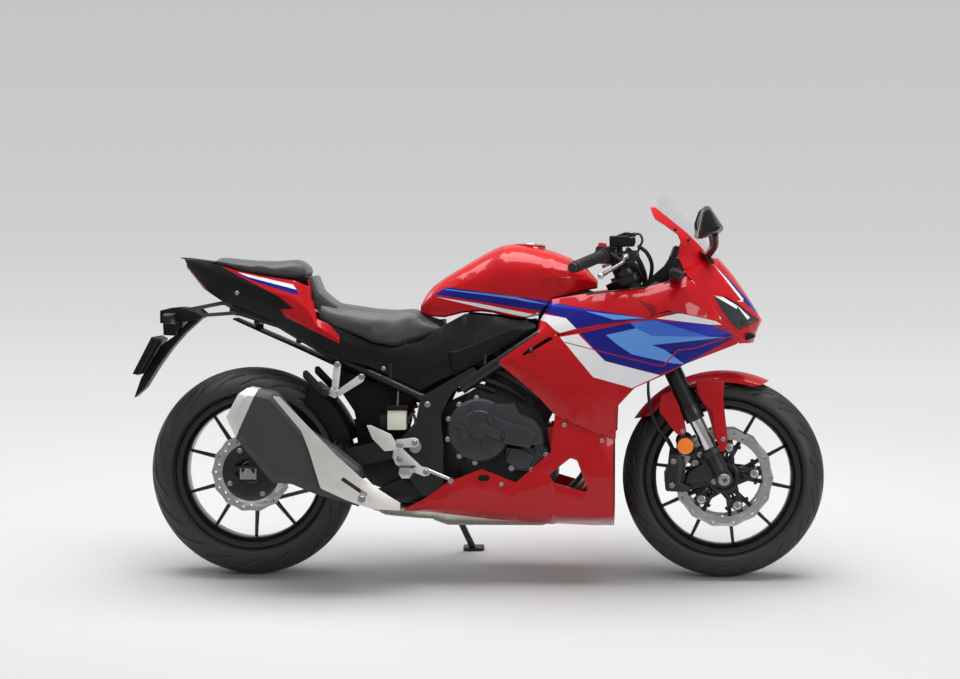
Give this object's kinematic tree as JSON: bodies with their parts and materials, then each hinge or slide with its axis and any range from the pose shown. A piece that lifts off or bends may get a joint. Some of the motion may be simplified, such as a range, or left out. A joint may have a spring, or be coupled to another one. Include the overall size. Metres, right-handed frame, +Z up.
{
  "type": "sport motorcycle",
  "caption": "Fully faired sport motorcycle with twin front discs, single silencer and side stand, leaning parked on its stand.",
  "frame": {"origin": "middle of the leaning motorcycle's bounding box, at the ground", "axes": "+X towards the front wheel, +Y to the rider's left, +Z up; the bike leans 10 degrees to its left on its stand"},
  "size_m": [2.0704, 0.7968, 1.1472],
  "materials": {
    "belly_left": "gloss",
    "belly_right": "gloss",
    "brake_hoses": "matt",
    "chain": "satin",
    "clutch_cover": "satin",
    "dashboard": "matt",
    "engine_block": "satin",
    "engine_covers": "satin",
    "exhaust_pipes": "satin",
    "fairing_stay": "satin",
    "foot_levers": "satin",
    "fork_lugs": "satin",
    "fork_stanchions": "gloss",
    "fork_tubes": "satin",
    "frame": "satin",
    "front_axle": "satin",
    "front_calipers": "satin",
    "front_discs": "satin",
    "front_fender": "gloss",
    "front_rim": "satin",
    "front_tyre": "matt",
    "fuel_tank": "gloss",
    "grips": "matt",
    "handlebars": "satin",
    "headlamps": "gloss",
    "hugger": "matt",
    "indicators": "gloss",
    "inner_cowls": "matt",
    "levers": "satin",
    "mid_cowls": "gloss",
    "mirrors": "gloss",
    "nose_cowl": "gloss",
    "pillion_hangers": "satin",
    "pillion_seat": "matt",
    "pivot_bolt": "satin",
    "plate_bracket": "matt",
    "radiator": "matt",
    "rear_axle": "satin",
    "rear_brake": "satin",
    "rear_disc": "satin",
    "rear_rim": "satin",
    "rear_sprocket": "satin",
    "rear_tyre": "matt",
    "rearsets": "satin",
    "rider_seat": "matt",
    "shock": "satin",
    "shock_spring": "satin",
    "shoulder_cowls": "gloss",
    "side_covers": "matt",
    "side_stand": "satin",
    "silencer": "matt",
    "silencer_guard": "satin",
    "subframe": "satin",
    "swingarm": "satin",
    "switch_boxes": "matt",
    "tail_cowl": "gloss",
    "tail_lamp": "gloss",
    "triple_clamps": "satin",
    "undertray": "matt",
    "windscreen": "gloss"
  },
  "bodies": {
    "chassis": {"belly_left": "belly_left", "belly_right": "belly_right", "chain": "chain", "clutch_cover": "clutch_cover", "dashboard": "dashboard", "engine_block": "engine_block", "engine_covers": "engine_covers", "exhaust_pipes": "exhaust_pipes", "fairing_stay": "fairing_stay", "foot_levers": "foot_levers", "frame": "frame", "fuel_tank": "fuel_tank", "headlamps": "headlamps", "hugger": "hugger", "indicators": "indicators", "inner_cowls": "inner_cowls", "mid_cowls": "mid_cowls", "mirrors": "mirrors", "nose_cowl": "nose_cowl", "pillion_hangers": "pillion_hangers", "pillion_seat": "pillion_seat", "pivot_bolt": "pivot_bolt", "plate_bracket": "plate_bracket", "radiator": "radiator", "rear_axle": "rear_axle", "rear_brake": "rear_brake", "rearsets": "rearsets", "rider_seat": "rider_seat", "shock": "shock", "shock_spring": "shock_spring", "shoulder_cowls": "shoulder_cowls", "side_covers": "side_covers", "silencer": "silencer", "silencer_guard": "silencer_guard", "subframe": "subframe", "swingarm": "swingarm", "tail_cowl": "tail_cowl", "tail_lamp": "tail_lamp", "undertray": "undertray", "windscreen": "windscreen"},
    "fork": {"fork_tubes": "fork_tubes", "fork_stanchions": "fork_stanchions", "fork_lugs": "fork_lugs", "triple_clamps": "triple_clamps", "handlebars": "handlebars", "grips": "grips", "switch_boxes": "switch_boxes", "levers": "levers", "front_fender": "front_fender", "front_calipers": "front_calipers", "front_axle": "front_axle", "brake_hoses": "brake_hoses"},
    "front_wheel": {"front_tyre": "front_tyre", "front_rim": "front_rim", "front_discs": "front_discs"},
    "rear_wheel": {"rear_tyre": "rear_tyre", "rear_rim": "rear_rim", "rear_disc": "rear_disc", "rear_sprocket": "rear_sprocket"},
    "side_stand": {"side_stand": "side_stand"}
  },
  "joints": [
    {"name": "steering", "type": "hinge", "parent": "chassis", "child": "fork", "pos_m": [0.42637, -0.0117, 0.85071], "axis": [-0.4305, 0.1567, 0.8889], "range_deg": [-30, 30]},
    {"name": "front_wheel_spin", "type": "hinge", "parent": "fork", "child": "front_wheel", "pos_m": [0.73534, -0.10924, 0.29754], "axis": [0, 0.9848, -0.1736], "continuous": true},
    {"name": "rear_wheel_spin", "type": "hinge", "parent": "chassis", "child": "rear_wheel", "pos_m": [-0.67466, -0.10715, 0.30936], "axis": [0, 0.9848, -0.1736], "continuous": true},
    {"name": "side_stand_fold", "type": "hinge", "parent": "chassis", "child": "side_stand", "pos_m": [-0.09966, 0.02102, 0.19547], "axis": [-0.0548, 0.9128, 0.4048], "range_deg": [0, 96]}
  ]
}
